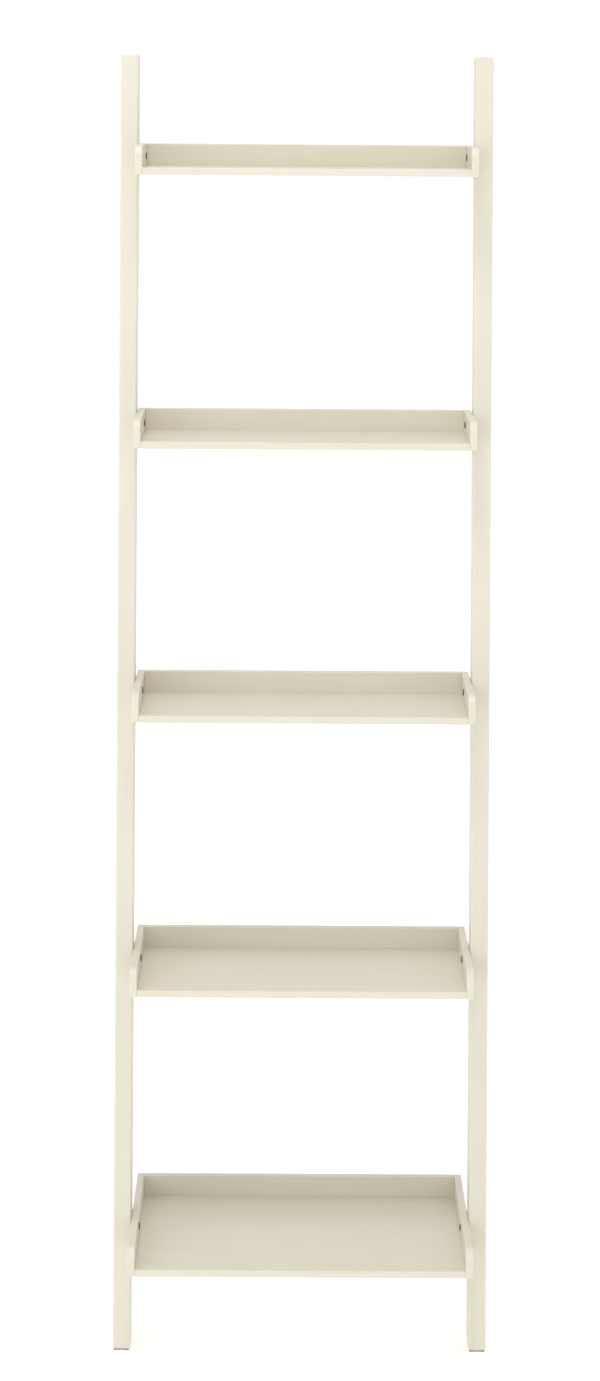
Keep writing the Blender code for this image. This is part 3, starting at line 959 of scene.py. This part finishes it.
def keyhole_drill():
    """The keyhole's outline carried through the plate."""
    opening = math.asin(SLOT_RADIUS / KEYHOLE_RADIUS)
    hole = math.pi / 2 + np.linspace(opening, 2 * math.pi - opening, CIRCLE_POINTS)
    top = np.linspace(0, math.pi, SLOT_POINTS)
    across = np.concatenate([KEYHOLE_RADIUS * np.cos(hole), SLOT_RADIUS * np.cos(top)])
    up = np.concatenate([KEYHOLE_RADIUS * np.sin(hole), KEYHOLE_RISE + SLOT_RADIUS * np.sin(top)])
    outline = np.stack([across, up - KEYHOLE_RISE / 2], -1)
    places = (PLATE_HALF[1] + PAST) * np.array([-1, 1])
    return skin(carried(1, places, np.array([outline, outline])))


for side in ENDS:
    node = f"wall_hanger_{side}"
    plate = eased_bar(1, (-PLATE_HALF, PLATE_HALF), PLATE_EASE, corners=4 * (PLATE_CORNER,))
    hanger = add_piece(node + "_plate", on_rail(side, plate), ZINC_STEEL, node)
    holes = [keyhole_drill(), *map(screw_drill, SCREW_UP.values())]
    drill(hanger, [on_rail(side, hole) for hole in holes])
    for level, place in SCREW_UP.items():
        node = f"hanger_screw_{side}_{level}"
        add_piece(node + "_threaded", on_rail(side, screw(place)), ZINC_STEEL, node)
print("hangers and their screws:", 2 * 3)

# %% [markdown]
# ## The studio
# The floor is plain and pale, and the light is soft, so that nothing competes with the shelf.
# A surround of nearly white light, a touch warm, comes from all sides, a little less from
# above. The floor glows a little, as a lit studio table does, so that the shelf hardly shadows
# it. A lamp high in front gives the trays their shading: the tray above keeps some of it off
# the back of the tray below. Two broad lamps to the left, one low in front and a weak one
# further round, light the rails. One small lamp would draw hard shadows of every tray on the
# next one.

# %% Floor and surround
FLOOR_HALF = 30.0
FLOOR_COLOUR = (0.93, 0.93, 0.93, 1)
FLOOR_GLOW = 0.33
SURROUND_COLOUR = (1.03, 1.01, 1.0, 1)
CEILING_LIGHT = 0.80
DIMS_FROM, DIMS_TO = 0.2, 0.5

corners = FLOOR_HALF * np.array([(-1, -1, 0), (1, -1, 0), (1, 1, 0), (-1, 1, 0)])
floor_mesh = bpy.data.meshes.new("studio_floor")
floor_mesh.from_pydata(corners, [], [(0, 1, 2, 3)])
floor = bpy.data.objects.new("studio_floor", floor_mesh)
bpy.context.scene.collection.objects.link(floor)
floor_material, _, floor_shader = start_material("pale_floor")
floor_shader.inputs["Base Color"].default_value = FLOOR_COLOUR
floor_shader.inputs["Roughness"].default_value = 0.9
floor_shader.inputs["Specular IOR Level"].default_value = 0.1
floor_shader.inputs["Emission Color"].default_value = (1.0, 1.0, 1.0, 1)
floor_shader.inputs["Emission Strength"].default_value = FLOOR_GLOW
floor_mesh.materials.append(floor_material)

world = bpy.data.worlds.new("white_surround")
bpy.context.scene.world = world
world.use_nodes = True
sky = world.node_tree
direction = add_node(sky, "TexCoord").outputs["Generated"]
height = add_node(sky, "SeparateXYZ", {0: direction}).outputs["Z"]
strength = spread(sky, height, DIMS_FROM, DIMS_TO, 1.0, CEILING_LIGHT)
sky.links.new(strength, sky.nodes["Background"].inputs["Strength"])
sky.nodes["Background"].inputs["Color"].default_value = SURROUND_COLOUR
bpy.context.scene.view_settings.view_transform = "Standard"
print("floor", 2 * FLOOR_HALF, "m across")

# %% Lamps
from mathutils import Matrix, Vector


SHELF_MIDDLE = Vector((0.0, 0.0, cad_box[1][2] / 2))


def add_lamp(name, place, size, power, colour=(1, 1, 1)):
    """A square soft box at a place, turned to the middle of the shelf."""
    data = bpy.data.lights.new(name, "AREA")
    data.size = size
    data.energy = power
    data.color = colour
    lamp = bpy.data.objects.new(name, data)
    lamp.location = place
    lamp.rotation_euler = (SHELF_MIDDLE - Vector(place)).to_track_quat("-Z", "Y").to_euler()
    bpy.context.scene.collection.objects.link(lamp)
    print(name, "has", power, "W")


add_lamp("high_box", (-0.3, -1.5, 4.4), size=1.2, power=32.0, colour=(1.0, 0.98, 0.92))
add_lamp("front_box", (-2.1, -2.6, 1.3), size=1.8, power=11.0, colour=(0.80, 1.0, 0.97))
add_lamp("left_box", (-3.0, -1.6, 2.2), size=2.0, power=6.0)

# %% [markdown]
# ## The camera
# The camera stands a little over four metres away at about the height of the top tray, looks
# slightly down, and uses a long lens, so the rails stay nearly parallel. The lens is shifted
# down a little, as on a view camera, which keeps the whole shelf in a tall narrow frame
# without tipping the camera further and making the rails converge.

# %% Camera
CAMERA_PLACE = Vector((-0.031, -4.203, 1.750))
LOOK_RIGHT, LOOK_DOWN, ROLL = (math.radians(angle) for angle in (0.33, 7.28, 0.41))
LENS_MM, SENSOR_MM = 78.8, 36.0
SHIFT_DOWN = 0.1414

camera_data = bpy.data.cameras.new("view_camera")
camera_data.lens = LENS_MM
camera_data.sensor_width = SENSOR_MM
camera_data.shift_y = -SHIFT_DOWN
camera = bpy.data.objects.new("view_camera", camera_data)
bpy.context.scene.collection.objects.link(camera)
aim = Matrix.Rotation(-LOOK_RIGHT, 4, "Z") @ Matrix.Rotation(math.pi / 2 - LOOK_DOWN, 4, "X")
camera.matrix_world = Matrix.Translation(CAMERA_PLACE) @ aim @ Matrix.Rotation(ROLL, 4, "Z")
bpy.context.scene.camera = camera
print("camera at", [round(value, 3) for value in CAMERA_PLACE])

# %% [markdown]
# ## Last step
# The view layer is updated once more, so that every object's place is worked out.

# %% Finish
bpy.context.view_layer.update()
